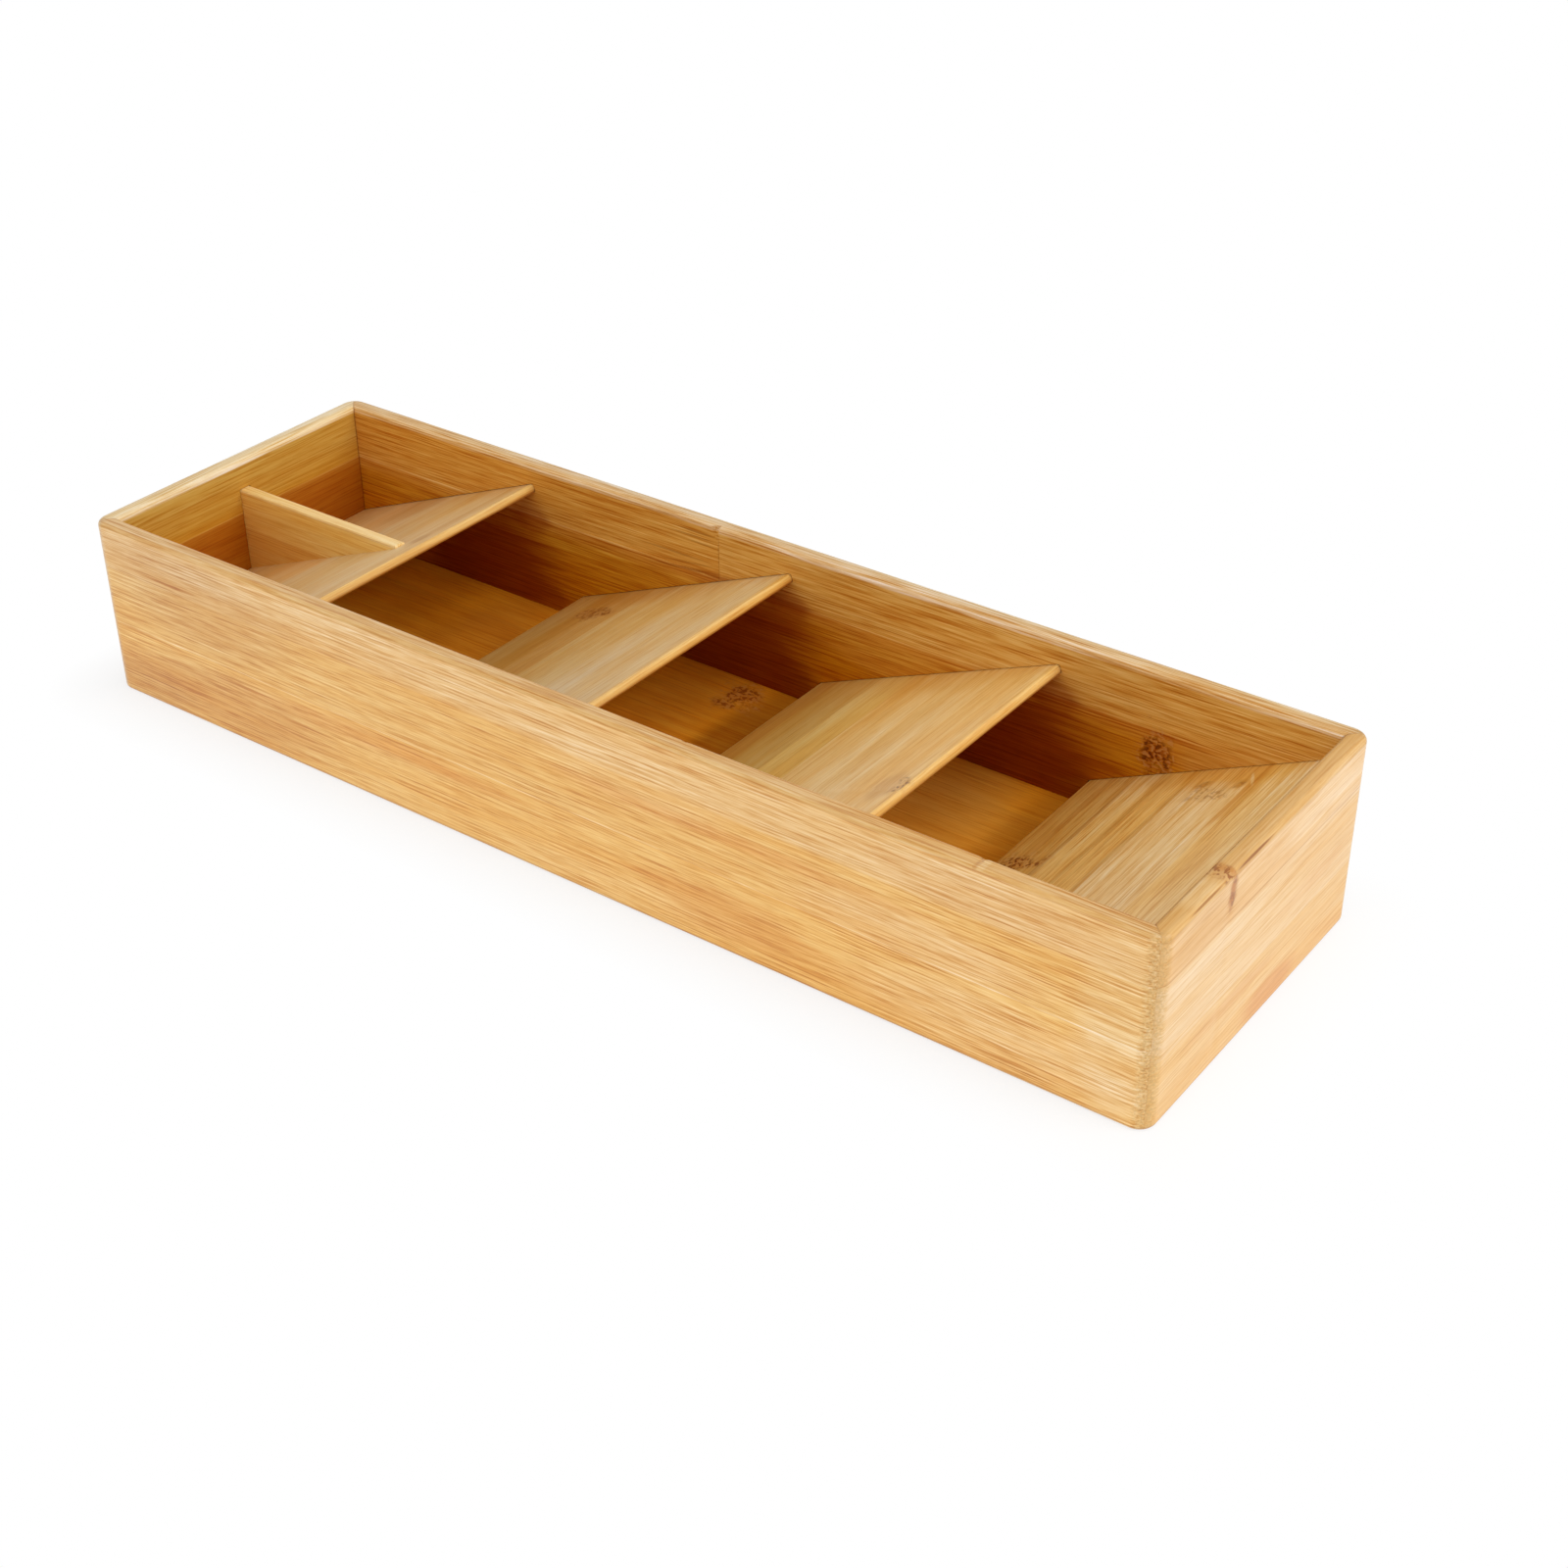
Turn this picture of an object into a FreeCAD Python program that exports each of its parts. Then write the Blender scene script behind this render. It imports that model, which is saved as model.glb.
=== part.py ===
import FreeCAD, Part
import os
import Sketcher

# A bamboo cutlery tray for a drawer: four walls mitred into a box, a panel let into them as the floor,
# three slanted ramps that carry stacked cutlery, and a pair of small pockets at the left end.
# +X runs along the tray towards the ramps' heads, +Y towards the back wall, +Z up.
# The origin is the middle of the footprint, on the surface that the tray stands on.

# Driving dimensions in millimetres. A share is a part of the length between the end walls.
sizes = {
    "tray_length": 400.0,
    "tray_width": 122.0,
    "tray_height": 63.0,
    "wall_thickness": 6.5,
    "corner_radius": 5.5,           # upright outer corners of the box
    "rim_rounding": 1.8,            # both top edges of the walls
    "foot_rounding": 1.2,           # lower outer edges of the walls
    "base_thickness": 5.0,
    "base_recess": 4.0,             # height of the panel's underside
    "groove_depth": 3.0,            # groove for the panel, in each wall
    "panel_float": 0.3,             # room between the panel's edges and the grooves
    "housing_depth": 2.0,           # slots for the ramps and the divider, in the walls
    "housing_slack": 0.15,          # room over a board in its slot and past its free ends
    "ramp_thickness": 3.0,
    "ramp_foot_rise": 9.0,          # upper edge of a ramp's foot, over the floor
    "ramp_head_drop": 8.1,          # upper edge of a ramp's head, under the rim
    "left_bay_run": 90.5,           # level length of each ramp
    "middle_bay_run": 88.8,
    "right_bay_run": 79.0,
    "left_bay_foot_share": 0.270,   # place of the foot, from the left end wall
    "middle_bay_foot_share": 0.5335,
    "pocket_run": 85.0,
    "pocket_foot_rise": 13.0,
    "pocket_head_drop": 6.9,
    "ramp_rounding": 1.0,           # edges of the ramps' free ends
    "divider_thickness": 4.5,
    "divider_step": 3.6,            # top of the divider, under the pocket ramp's head
    "divider_nose": 0.8,            # height of the blunt tip where the divider runs out
    "divider_rounding": 0.7,        # both top edges of the divider
}

doc = FreeCAD.newDocument("cutlery_tray")
sheet = doc.addObject("Spreadsheet::Sheet", "Sizes")
for row, (alias, size) in enumerate(sizes.items(), start=1):
    sheet.set(f"A{row}", alias)
    sheet.set(f"B{row}", str(size))
    sheet.setAlias(f"B{row}", alias)
doc.recompute()

# Places that several boards share, as expressions of the sheet's sizes
half_length = "(Sizes.tray_length / 2)"
half_width = "(Sizes.tray_width / 2)"
inner_half_length = f"({half_length} - Sizes.wall_thickness)"
inner_half_width = f"({half_width} - Sizes.wall_thickness)"
floor_height = "(Sizes.base_recess + Sizes.base_thickness)"
housed_half_width = f"({inner_half_width} + Sizes.housing_depth)"
mitre_angle = "45 deg"
outer_share = 0.3   # an edge that lies nearer to the outer face than this much of the wall is an outer edge
inner_share = 0.9   # an edge that lies further in than this much of the wall is an inner edge
level_share = 0.01  # an edge is level with a height when it is off by less than this much of the wall


def number(expression):
    return float(sheet.evalExpression(expression))


def new_body(label):
    body = doc.addObject("PartDesign::Body", label)
    body.Label = label
    return body


def outline(body, name, plane, corners, arcs=None):
    """A closed sketch through the corners in turn. arcs maps a side's number to its centre and radius."""
    arcs = arcs or {}
    sketch = body.newObject("Sketcher::SketchObject", name)
    plane_feature = next(feature for feature in body.Origin.OriginFeatures if feature.Role == plane)
    sketch.AttachmentSupport = [(plane_feature, "")]
    sketch.MapMode = "FlatFace"
    points = [FreeCAD.Vector(number(across), number(up), 0) for across, up in corners]
    count = len(points)
    for side in range(count):
        start = points[side]
        end = points[(side + 1) % count]
        if side in arcs:
            centre_across, centre_up, radius = arcs[side]
            centre = FreeCAD.Vector(number(centre_across), number(centre_up), 0)
            circle = Part.Circle(centre, FreeCAD.Vector(0, 0, 1), number(radius))
            sketch.addGeometry(Part.ArcOfCircle(circle, circle.parameter(start), circle.parameter(end)))
        else:
            sketch.addGeometry(Part.LineSegment(start, end))
    for side in range(count):
        sketch.addConstraint(Sketcher.Constraint("Coincident", side, 2, (side + 1) % count, 1))
    for side, (across, up) in enumerate(corners):
        corner = points[side]
        bind(sketch, f"across_{side}", Sketcher.Constraint("DistanceX", -1, 1, side, 1, corner.x), across)
        bind(sketch, f"up_{side}", Sketcher.Constraint("DistanceY", -1, 1, side, 1, corner.y), up)
    for side, (_, _, radius) in arcs.items():
        bind(sketch, f"radius_{side}", Sketcher.Constraint("Radius", side, number(radius)), radius)
    doc.recompute()
    return sketch


def bind(sketch, name, constraint, expression):
    sketch.renameConstraint(sketch.addConstraint(constraint), name)
    sketch.setExpression(f"Constraints.{name}", expression)


def pad(body, sketch, length, symmetric=False):
    feature = body.newObject("PartDesign::Pad", f"{sketch.Name}_pad")
    feature.Profile = sketch
    feature.SideType = "Symmetric" if symmetric else "One side"
    feature.setExpression("Length", length)
    doc.recompute()
    return feature


def pocket(body, sketch, length, symmetric=False):
    """A cut from the sketch's plane towards its front, or to both sides alike."""
    volume_before = body.Shape.Volume
    feature = body.newObject("PartDesign::Pocket", f"{sketch.Name}_cut")
    feature.Profile = sketch
    feature.SideType = "Symmetric" if symmetric else "One side"
    feature.Reversed = not symmetric
    feature.setExpression("Length", length)
    doc.recompute()
    if not body.Shape.Volume < volume_before:
        raise RuntimeError(f"{feature.Label} cuts nothing")
    return feature


def fillet(body, name, radius, chosen):
    """Rounds the edges of the body so far that chosen(edge) picks."""
    base = body.Tip
    names = [f"Edge{place}" for place, edge in enumerate(base.Shape.Edges, start=1) if chosen(edge)]
    if not names:
        raise RuntimeError(f"{name} finds no edge")
    feature = body.newObject("PartDesign::Fillet", name)
    feature.Base = (base, names)
    feature.setExpression("Radius", radius)
    doc.recompute()
    return feature


class Ramp:
    """The line of a ramp's upper face, from its foot to its head, and how its two ends are cut."""

    def __init__(self, foot_x, run, foot_rise, head_drop, plumb_foot=False, plumb_head=False):
        self.foot_x = foot_x
        self.foot_z = f"({floor_height} + {foot_rise})"
        self.run = run
        self.rise = f"(Sizes.tray_height - {head_drop} - {self.foot_z})"
        self.angle = f"atan({self.rise} / {run})"
        self.length = f"({run} / cos({self.angle}))"
        self.plumb_foot = plumb_foot
        self.plumb_head = plumb_head
        self.bevel = f"(Sizes.ramp_thickness * tan({self.angle}))"

    def section(self, over="0", past="0"):
        """Corners of the section, along the ramp and square to it, with room over it and past free ends."""
        foot_past = "0" if self.plumb_foot else past
        head_past = "0" if self.plumb_head else past
        foot_bevel = self.bevel if self.plumb_foot else "0"
        head_bevel = self.bevel if self.plumb_head else "0"
        foot_lift = f"({over} * tan({self.angle}))" if self.plumb_foot else "0"
        head_lift = f"({over} * tan({self.angle}))" if self.plumb_head else "0"
        return [
            (f"(-{foot_past} - {foot_bevel})", "(-Sizes.ramp_thickness)"),
            (f"({self.length} + {head_past} - {head_bevel})", "(-Sizes.ramp_thickness)"),
            (f"({self.length} + {head_past} + {head_lift})", over),
            (f"({foot_lift} - {foot_past})", over),
        ]

    def in_tray(self, along, square):
        """The place in the tray, in X and Z, of a point of the section."""
        x = f"({self.foot_x} + {along} * cos({self.angle}) - {square} * sin({self.angle}))"
        z = f"({self.foot_z} + {along} * sin({self.angle}) + {square} * cos({self.angle}))"
        return x, z


def foot_at(share):
    return f"({share} * 2 * {inner_half_length} - {inner_half_length})"


pocket_line = Ramp(f"(-{inner_half_length})", "Sizes.pocket_run", "Sizes.pocket_foot_rise",
                   "Sizes.pocket_head_drop", plumb_foot=True)
ramps = {
    "pocket_ramp": pocket_line,
    "left_bay_ramp": Ramp(foot_at("Sizes.left_bay_foot_share"), "Sizes.left_bay_run",
                          "Sizes.ramp_foot_rise", "Sizes.ramp_head_drop"),
    "middle_bay_ramp": Ramp(foot_at("Sizes.middle_bay_foot_share"), "Sizes.middle_bay_run",
                            "Sizes.ramp_foot_rise", "Sizes.ramp_head_drop"),
    "right_bay_ramp": Ramp(f"({inner_half_length} - Sizes.right_bay_run)", "Sizes.right_bay_run",
                           "Sizes.ramp_foot_rise", "Sizes.ramp_head_drop", plumb_head=True),
}
divider_height = f"({pocket_line.rise} - Sizes.divider_step)"


def wall(label, half_run, half_across, turn):
    """A wall as it stands at the front, half_across from the origin, then turned to its side of the box."""
    body = new_body(label)
    inner_run = f"({half_run} - Sizes.wall_thickness)"
    inner_across = f"({half_across} - Sizes.wall_thickness)"
    centre_run = f"({half_run} - Sizes.corner_radius)"
    centre_across = f"({half_across} - Sizes.corner_radius)"
    mitre_run = f"({centre_run} + Sizes.corner_radius * cos({mitre_angle}))"
    mitre_across = f"({centre_across} + Sizes.corner_radius * sin({mitre_angle}))"
    plan = outline(body, f"{label}_plan", "XY_Plane", [
        (f"(-{centre_run})", f"(-{half_across})"),
        (centre_run, f"(-{half_across})"),
        (mitre_run, f"(-{mitre_across})"),
        (inner_run, f"(-{inner_across})"),
        (f"(-{inner_run})", f"(-{inner_across})"),
        (f"(-{mitre_run})", f"(-{mitre_across})"),
    ], {
        1: (centre_run, f"(-{centre_across})", "Sizes.corner_radius"),
        5: (f"(-{centre_run})", f"(-{centre_across})", "Sizes.corner_radius"),
    })
    pad(body, plan, "Sizes.tray_height")

    thickness = number("Sizes.wall_thickness")
    height = number("Sizes.tray_height")
    outer_face = -number(half_across)

    def lies(edge, level):
        box = edge.BoundBox
        return max(abs(box.ZMin - level), abs(box.ZMax - level)) < level_share * thickness

    def depth_share(edge):
        return (edge.CenterOfMass.y - outer_face) / thickness

    fillet(body, f"{label}_rim", "Sizes.rim_rounding", lambda edge: lies(edge, height)
           and not outer_share < depth_share(edge) < inner_share)
    fillet(body, f"{label}_foot", "Sizes.foot_rounding", lambda edge: lies(edge, 0)
           and depth_share(edge) < outer_share)

    groove_bottom = f"(-{inner_across} - Sizes.groove_depth)"
    groove_top = f"({floor_height} + Sizes.housing_slack)"
    groove = outline(body, f"{label}_groove", "YZ_Plane", [
        (groove_bottom, "Sizes.base_recess"),
        ("0", "Sizes.base_recess"),
        ("0", groove_top),
        (groove_bottom, groove_top),
    ])
    pocket(body, groove, f"2 * {half_run}", symmetric=True)
    body.Placement = FreeCAD.Placement(FreeCAD.Vector(), FreeCAD.Rotation(FreeCAD.Vector(0, 0, 1), turn))
    return body


def house_ramps(body, side):
    """Cuts a slanted slot for each ramp into a long wall. side is 1 at the front and -1 at the back."""
    for label, ramp in ramps.items():
        section = ramp.section(over="Sizes.housing_slack", past="Sizes.housing_slack")
        places = [ramp.in_tray(along, square) for along, square in section]
        corners = [(f"({side} * {x})", z) for x, z in places]
        if side < 0:
            corners.reverse()
        slot = outline(body, f"{body.Label}_{label}_slot", "XZ_Plane", corners)
        pocket(body, slot, housed_half_width)


def house_divider(body):
    half_slot = "(Sizes.divider_thickness / 2 + Sizes.housing_slack)"
    slot_top = f"({pocket_line.foot_z} + {divider_height} + Sizes.housing_slack)"
    slot = outline(body, "divider_slot", "XZ_Plane", [
        (f"(-{half_slot})", pocket_line.foot_z),
        (half_slot, pocket_line.foot_z),
        (half_slot, slot_top),
        (f"(-{half_slot})", slot_top),
    ])
    pocket(body, slot, f"({inner_half_length} + Sizes.housing_depth)")


def base_panel():
    body = new_body("base_panel")
    half_run = f"({inner_half_length} + Sizes.groove_depth - Sizes.panel_float)"
    half_across = f"({inner_half_width} + Sizes.groove_depth - Sizes.panel_float)"
    plan = outline(body, "base_plan", "XY_Plane", [
        (f"(-{half_run})", f"(-{half_across})"),
        (half_run, f"(-{half_across})"),
        (half_run, half_across),
        (f"(-{half_run})", half_across),
    ])
    pad(body, plan, "Sizes.base_thickness")
    body.setExpression("Placement.Base.z", "Sizes.base_recess")
    return body


def ramp_board(label, ramp):
    """A ramp as it lies flat, with the upper edge of its foot on the Y axis, then tilted into its slots."""
    body = new_body(label)
    section = outline(body, f"{label}_section", "XZ_Plane", ramp.section())
    pad(body, section, f"2 * ({housed_half_width} - Sizes.housing_slack)", symmetric=True)
    middle = number(ramp.length) / 2
    board_width = body.Shape.BoundBox.YLength

    def free_end(edge):
        runs_across = edge.BoundBox.YLength > board_width / 2
        at_foot = edge.CenterOfMass.x < middle
        return runs_across and not (ramp.plumb_foot if at_foot else ramp.plumb_head)

    fillet(body, f"{label}_ends", "Sizes.ramp_rounding", free_end)
    body.Placement = FreeCAD.Placement(FreeCAD.Vector(), FreeCAD.Rotation(FreeCAD.Vector(0, -1, 0), 1))
    body.setExpression("Placement.Base.x", ramp.foot_x)
    body.setExpression("Placement.Base.z", ramp.foot_z)
    body.setExpression("Placement.Rotation.Angle", ramp.angle)
    return body


def pocket_divider():
    """The upright board between the pockets, from its slot in the left end wall to its tip on the ramp."""
    body = new_body("pocket_divider")
    nose_z = f"({divider_height} - Sizes.divider_nose)"
    nose_x = f"({nose_z} / tan({pocket_line.angle}))"
    tongue_x = "(Sizes.housing_slack - Sizes.housing_depth)"
    section = outline(body, "divider_section", "XZ_Plane", [
        (tongue_x, "0"),
        ("0", "0"),
        (nose_x, nose_z),
        (nose_x, divider_height),
        (tongue_x, divider_height),
    ])
    pad(body, section, "Sizes.divider_thickness", symmetric=True)
    top = number(divider_height)
    thickness = number("Sizes.divider_thickness")

    def top_edge(edge):
        runs_along = edge.BoundBox.XLength > thickness
        return runs_along and abs(edge.BoundBox.ZMin - top) < level_share * thickness

    fillet(body, "divider_top", "Sizes.divider_rounding", top_edge)
    body.setExpression("Placement.Base.x", f"(-{inner_half_length})")
    body.setExpression("Placement.Base.z", pocket_line.foot_z)
    return body


front_wall = wall("front_wall", half_length, half_width, 0)
right_end_wall = wall("right_end_wall", half_width, half_length, 90)
back_wall = wall("back_wall", half_length, half_width, 180)
left_end_wall = wall("left_end_wall", half_width, half_length, 270)
house_ramps(front_wall, 1)
house_ramps(back_wall, -1)
house_divider(left_end_wall)
boards = [front_wall, back_wall, left_end_wall, right_end_wall, base_panel()]
boards += [ramp_board(label, ramp) for label, ramp in ramps.items()]
boards.append(pocket_divider())
doc.recompute()

for item in doc.Objects:
    if "Invalid" in item.State or "Error" in item.State:
        raise RuntimeError(f"{item.Label} failed: {item.State}")
for board in boards:
    if board.Shape.isNull() or not board.Shape.isValid() or len(board.Shape.Solids) != 1:
        raise RuntimeError(f"{board.Label} is not one sound solid")

os.makedirs("parts", exist_ok=True)
for board in boards:
    board.Shape.exportStep(f"parts/{board.Label}.step")
    print(f"{board.Label}: {board.Shape.Volume:.1f} mm3")
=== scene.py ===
import math
from functools import partial

import bmesh
import bpy
from mathutils import Matrix, Vector


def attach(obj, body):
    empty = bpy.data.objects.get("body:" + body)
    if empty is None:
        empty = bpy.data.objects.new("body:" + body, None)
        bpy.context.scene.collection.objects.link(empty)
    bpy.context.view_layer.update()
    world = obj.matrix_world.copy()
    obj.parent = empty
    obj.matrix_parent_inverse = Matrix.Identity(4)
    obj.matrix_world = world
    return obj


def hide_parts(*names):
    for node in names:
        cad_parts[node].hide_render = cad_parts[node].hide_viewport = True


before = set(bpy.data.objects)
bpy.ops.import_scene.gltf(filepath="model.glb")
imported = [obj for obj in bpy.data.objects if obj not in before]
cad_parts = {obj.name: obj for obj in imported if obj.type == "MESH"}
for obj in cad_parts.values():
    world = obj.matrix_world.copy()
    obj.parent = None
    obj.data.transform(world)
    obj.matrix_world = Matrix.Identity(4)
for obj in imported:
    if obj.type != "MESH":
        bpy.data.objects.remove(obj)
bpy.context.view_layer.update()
scene = bpy.context.scene
mm = 0.001

# Sizes of the tray in millimetres, the same as in the solids
tray = {
    "length": 400.0, "width": 122.0, "height": 63.0,
    "wall": 6.5, "cornerRadius": 5.5, "rimRounding": 1.8, "footRounding": 1.2,
    "floor": 9.0, "panel": 5.0, "groove": 3.0,
    "rampThickness": 3.0, "rampRounding": 1.0, "housing": 2.0,
}
innerLength = tray["length"] / 2 - tray["wall"]   # half of the room between the end walls
innerWidth = tray["width"] / 2 - tray["wall"]     # half of the room between the long walls
# How far a housing stands open above a board, past its ends and beside it, and a groove past the panel's edge
slotOver, slotPast, slotSide, panelRoom = 0.18, 0.3, 0.15, 0.3
roundingSteps = 8
sharpFrom = math.radians(32)

mathNode, vectorNode, joinNode = "ShaderNodeMath", "ShaderNodeVectorMath", "ShaderNodeCombineXYZ"
rangeNode, noiseNode, mixNode = "ShaderNodeMapRange", "ShaderNodeTexNoise", "ShaderNodeMix"
ofColours = {"pick": 2, "data_type": "RGBA"}  # what a mix of two colours needs
softly = {"interpolation_type": "SMOOTHSTEP"}


def colour(code):
    channels = [int(code[i:i + 2], 16) / 255 for i in (1, 3, 5)]
    return [c / 12.92 if c <= 0.04045 else ((c + 0.055) / 1.055) ** 2.4 for c in channels] + [1.0]


def put(tree, kind, sockets=None, pick=0, **settings):
    node = tree.nodes.new(kind)
    for name, value in settings.items():
        setattr(node, name, value)
    for socket, value in (sockets or {}).items():
        if isinstance(value, bpy.types.NodeSocket):
            tree.links.new(value, node.inputs[socket])
        else:
            node.inputs[socket].default_value = value
    return node.outputs[pick] if node.outputs else None


def startTree(name, sizes):
    tree = bpy.data.node_groups.new(name, "GeometryNodeTree")
    for label, kind in sizes.items():
        tree.interface.new_socket(name=label, in_out="INPUT", socket_type="NodeSocket" + kind)
    tree.interface.new_socket(name="Geometry", in_out="OUTPUT", socket_type="NodeSocketGeometry")
    return tree, tree.nodes.new("NodeGroupInput").outputs


def endTree(tree, shape, material):
    add = partial(put, tree)
    whole = add("GeometryNodeRealizeInstances", {"Geometry": shape})
    dressed = add("GeometryNodeSetMaterial", {"Geometry": whole, "Material": material})
    tree.links.new(dressed, tree.nodes.new("NodeGroupOutput").inputs["Geometry"])


# A four-cornered section, rounded by the named sizes and swept along a straight run
def sweep(tree, size, corners, roundings, start, end):
    add = partial(put, tree)
    section = add("GeometryNodeCurvePrimitiveQuadrilateral", {
        f"Point {place}": corner for place, corner in enumerate(corners, 1)}, mode="POINTS")
    radius = tree.nodes.new("GeometryNodeIndexSwitch")
    radius.data_type = "FLOAT"
    while len(radius.index_switch_items) < len(corners):
        radius.index_switch_items.new()
    tree.links.new(add("GeometryNodeInputIndex"), radius.inputs["Index"])
    for place, rounding in enumerate(roundings):
        if rounding:
            tree.links.new(size[rounding], radius.inputs[str(place)])
    rounded = add("GeometryNodeFilletCurve", {
        "Curve": section, "Count": roundingSteps, "Radius": radius.outputs[0]}, mode="POLY")
    run = add("GeometryNodeCurvePrimitiveLine", {"Start": start, "End": end})
    stations = add("GeometryNodeResampleCurve", {"Curve": run, "Count": size["Stations"]})
    return add("GeometryNodeCurveToMesh", {"Curve": stations, "Profile Curve": rounded, "Fill Caps": True})


# A mitred wall: its section is swept along the run, squeezed to the 45 degree mitre layer by layer,
# and the outer upright corner is bent round its radius
def mitredWallTree():
    tree, size = startTree("mitredWall", {
        "Half Run": "Float", "Inner Across": "Float", "Thickness": "Float", "Height": "Float",
        "Corner Radius": "Float", "Rim Rounding": "Float", "Foot Rounding": "Float",
        "Stations": "Int", "Turn": "Float", "Material": "Material"})
    add = partial(put, tree)
    half, thickness, radius = size["Half Run"], size["Thickness"], size["Corner Radius"]
    top = add(mathNode, {0: size["Height"], 1: -1.0}, operation="MULTIPLY")  # a swept section has its Y down
    start = add(mathNode, {0: half, 1: -1.0}, operation="MULTIPLY")
    swept = sweep(tree, size, [
        (0, 0, 0), add(joinNode, {"Y": top}), add(joinNode, {"X": thickness, "Y": top}),
        add(joinNode, {"X": thickness})],
        ("", "Rim Rounding", "Rim Rounding", "Foot Rounding"),
        add(joinNode, {"X": start}), add(joinNode, {"X": half}))

    x, y, height = add("ShaderNodeSeparateXYZ", {0: add("GeometryNodeInputPosition")}).node.outputs[:]
    depth = add(mathNode, {0: y, 1: -1.0}, operation="MULTIPLY")  # from the inner face outwards
    inner = add(mathNode, {0: half, 1: thickness}, operation="SUBTRACT")
    reach = add(mathNode, {0: inner, 1: depth}, operation="ADD")  # how far this layer runs to the mitre
    scaled = add(mathNode, {0: x, 1: reach}, operation="MULTIPLY")
    squeezed = add(mathNode, {0: scaled, 1: half}, operation="DIVIDE")

    bendStart = add(mathNode, {0: half, 1: radius}, operation="SUBTRACT")
    fromMiddle = add(mathNode, {0: squeezed}, operation="ABSOLUTE")
    past = add(mathNode, {0: fromMiddle, 1: bendStart}, operation="SUBTRACT")
    hub = add(mathNode, {0: thickness, 1: radius}, operation="SUBTRACT")
    layer = add(mathNode, {0: depth, 1: hub}, operation="SUBTRACT")
    isPast = add(mathNode, {0: past, 1: 0.0}, operation="GREATER_THAN")
    isOuter = add(mathNode, {0: layer, 1: 0.0}, operation="GREATER_THAN")
    inCorner = add(mathNode, {0: isPast, 1: isOuter}, operation="MULTIPLY")
    layer = add(mathNode, {0: layer, 1: 1e-6}, operation="MAXIMUM")  # never divides by nothing
    past = add(mathNode, {0: past, 1: 0.0}, operation="MAXIMUM")
    share = add(mathNode, {0: past, 1: layer}, operation="DIVIDE")
    angle = add(mathNode, {0: share, 1: math.pi / 4}, operation="MULTIPLY")
    sine = add(mathNode, {0: angle}, operation="SINE")
    cosine = add(mathNode, {0: angle}, operation="COSINE")
    bentRun = add(mathNode, {0: layer, 1: sine, 2: bendStart}, operation="MULTIPLY_ADD")
    bentX = add(mathNode, {0: bentRun, 1: add(mathNode, {0: x}, operation="SIGN")}, operation="MULTIPLY")
    bentDepth = add(mathNode, {0: layer, 1: cosine, 2: hub}, operation="MULTIPLY_ADD")

    newX = add(mixNode, {0: inCorner, 2: squeezed, 3: bentX})
    newDepth = add(mixNode, {0: inCorner, 2: depth, 3: bentDepth})
    outwards = add(mathNode, {0: newDepth, 1: size["Inner Across"]}, operation="ADD")
    newY = add(mathNode, {0: outwards, 1: -1.0}, operation="MULTIPLY")
    bent = add("GeometryNodeSetPosition", {
        "Geometry": swept, "Position": add(joinNode, {"X": newX, "Y": newY, "Z": height})})
    turned = add("GeometryNodeTransform", {"Geometry": bent, "Rotation": add(joinNode, {"Z": size["Turn"]})})
    endTree(tree, turned, size["Material"])
    return tree


# A slanted board: its section lies flat with the foot's upper edge on the Y axis, then tilts into place
def slantedBoardTree():
    tree, size = startTree("slantedBoard", {
        "Slope Length": "Float", "Thickness": "Float", "Half Width": "Float",
        "Foot Bevel": "Float", "Head Bevel": "Float", "Foot Rounding": "Float", "Head Rounding": "Float",
        "Stations": "Int", "Tilt": "Float", "Foot": "Vector", "Material": "Material"})
    add = partial(put, tree)
    length, thickness, half = size["Slope Length"], size["Thickness"], size["Half Width"]
    footBack = add(mathNode, {0: size["Foot Bevel"], 1: -1.0}, operation="MULTIPLY")
    headBack = add(mathNode, {0: length, 1: size["Head Bevel"]}, operation="SUBTRACT")
    start = add(mathNode, {0: half, 1: -1.0}, operation="MULTIPLY")
    swept = sweep(tree, size, [
        (0, 0, 0), add(joinNode, {"X": length}), add(joinNode, {"X": headBack, "Y": thickness}),
        add(joinNode, {"X": footBack, "Y": thickness})],
        ("Foot Rounding", "Head Rounding", "Head Rounding", "Foot Rounding"),
        add(joinNode, {"Y": start}), add(joinNode, {"Y": half}))
    tilt = add(joinNode, {"Y": add(mathNode, {0: size["Tilt"], 1: -1.0}, operation="MULTIPLY")})
    placed = add("GeometryNodeTransform", {"Geometry": swept, "Translation": size["Foot"], "Rotation": tilt})
    endTree(tree, placed, size["Material"])
    return tree


def settle(piece):
    bpy.context.view_layer.update()
    shaped = piece.evaluated_get(bpy.context.evaluated_depsgraph_get())
    mesh = bpy.data.meshes.new_from_object(shaped)
    piece.modifiers.clear()
    piece.data = mesh
    return piece


def grow(name, tree, sizes):
    piece = bpy.data.objects.new(name, bpy.data.meshes.new(name))
    scene.collection.objects.link(piece)
    modifier = piece.modifiers.new("shape", "NODES")
    modifier.node_group = tree
    for item in tree.interface.items_tree:
        if item.in_out == "INPUT" and item.name in sizes:
            modifier[item.identifier] = sizes[item.name]
    settle(piece)
    piece.data.transform(Matrix.Scale(mm, 4))  # the trees work in millimetres
    return piece


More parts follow.
